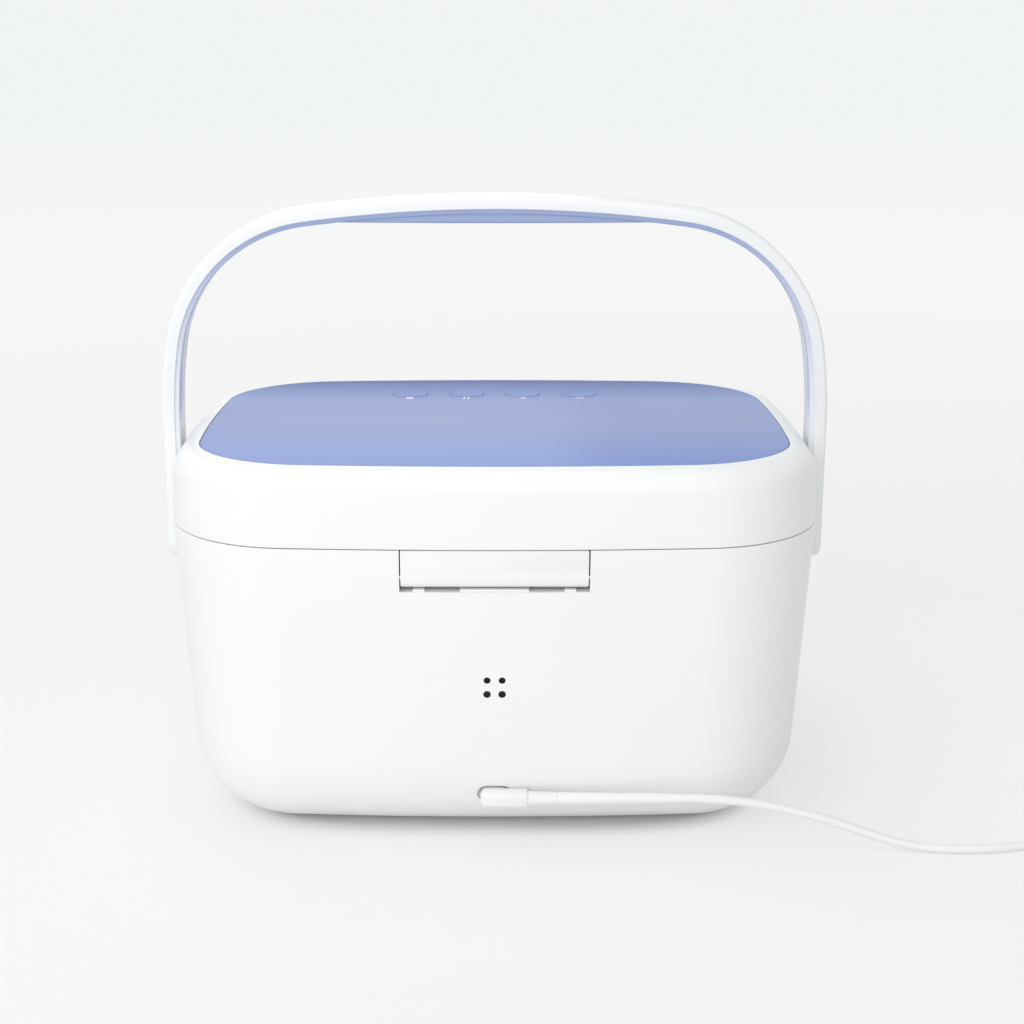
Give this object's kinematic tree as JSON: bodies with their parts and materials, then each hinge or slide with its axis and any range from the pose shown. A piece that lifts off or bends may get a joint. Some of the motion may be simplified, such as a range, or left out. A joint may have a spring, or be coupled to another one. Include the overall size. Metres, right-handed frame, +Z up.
{
  "type": "cpap sanitizer",
  "caption": "Rounded carry box with a hinged lid, sloping touch panel with round push buttons, folding arch handle and corded power port.",
  "frame": {"origin": "centre of the feet's footprint, on the surface the box stands on", "axes": "+Z up, -Y to the front where the buttons are, +Y to the lid hinge and power port, X across the handle"},
  "size_m": [0.4571, 0.263, 0.2773],
  "materials": {
    "white_case": "satin white moulded plastic",
    "chamber_silver": "metallised reflective plastic",
    "blue_panel": "gloss periwinkle blue",
    "blue_button": "gloss periwinkle blue",
    "lilac_trim": "satin lilac blue",
    "rubber_grey": "matte",
    "zinc_screw": "zinc plated",
    "steel_pin": "ground steel",
    "steel_wire": "polished stainless wire",
    "board_green": "solder mask",
    "component_black": "moulded black",
    "lamp_chip": "ceramic chip",
    "clear_window": "clear",
    "bush_white": "acetal",
    "cord_white": "soft white"
  },
  "bodies": {
    "base": {"base_shell": "white_case", "bottom_cover": "white_case", "inner_tub": "chamber_silver", "rubber_feet": "rubber_grey", "bottom_screws": "zinc_screw", "tub_screws": "zinc_screw", "tub_lamp_screws": "zinc_screw", "main_board_screws": "zinc_screw", "hinge_pin": "steel_pin", "base_magnets": "steel_pin", "power_socket": "steel_pin", "plug_tip": "steel_pin", "usb_plug_tip": "steel_pin", "wire_rack": "steel_wire", "tub_lamp_board": "board_green", "main_board": "board_green", "main_board_parts": "component_black", "buzzer": "component_black", "tub_lamps": "lamp_chip", "tub_lamp_window": "clear_window", "axle_bushes": "bush_white", "plug_body": "cord_white", "plug_sleeve": "cord_white", "cord_lead": "cord_white", "cord_coil": "cord_white", "cord_tie": "cord_white", "usb_plug_body": "cord_white"},
    "lid": {"hinge_tongue": "white_case", "tongue_screws": "zinc_screw", "lid_shell": "white_case", "top_panel": "blue_panel", "lid_inner_cover": "chamber_silver", "lid_cover_screws": "zinc_screw", "lid_gasket": "rubber_grey", "lid_magnets": "steel_pin", "lid_lamp_window": "clear_window", "lid_lamp_board": "board_green", "lid_lamps": "lamp_chip", "lid_lamp_screws": "zinc_screw", "button_board": "board_green", "button_switches": "component_black", "button_board_screws": "zinc_screw"},
    "handle": {"handle_shell": "white_case", "handle_liner": "lilac_trim", "handle_grip": "lilac_trim", "handle_axles": "steel_pin", "axle_clips": "steel_pin"},
    "button_on": {"button_on": "blue_button"},
    "button_start": {"button_start": "blue_button"},
    "button_pause": {"button_pause": "blue_button"},
    "button_off": {"button_off": "blue_button"}
  },
  "joints": [
    {"name": "lid_hinge", "type": "hinge", "parent": "base", "child": "lid", "pos_m": [0, 0.1129, 0.1266], "axis": [-1, 0, 0], "range_deg": [0, 55]},
    {"name": "handle_pivot", "type": "hinge", "parent": "base", "child": "handle", "pos_m": [0, 0.015, 0.1159], "axis": [-1, 0, 0], "range_deg": [0, 121]},
    {"name": "button_on_press", "type": "slide", "parent": "lid", "child": "button_on", "axis": [0, 0.034, -0.9994], "range_m": [0, 0.0008], "stiffness_N_per_m": 900, "springref_m": -0.0006},
    {"name": "button_start_press", "type": "slide", "parent": "lid", "child": "button_start", "axis": [0, 0.034, -0.9994], "range_m": [0, 0.0008], "stiffness_N_per_m": 900, "springref_m": -0.0006},
    {"name": "button_pause_press", "type": "slide", "parent": "lid", "child": "button_pause", "axis": [0, 0.034, -0.9994], "range_m": [0, 0.0008], "stiffness_N_per_m": 900, "springref_m": -0.0006},
    {"name": "button_off_press", "type": "slide", "parent": "lid", "child": "button_off", "axis": [0, 0.034, -0.9994], "range_m": [0, 0.0008], "stiffness_N_per_m": 900, "springref_m": -0.0006}
  ],
  "couplings": [
    {"joint": "handle_pivot", "follows": "lid_hinge", "ratio": 2.2}
  ]
}
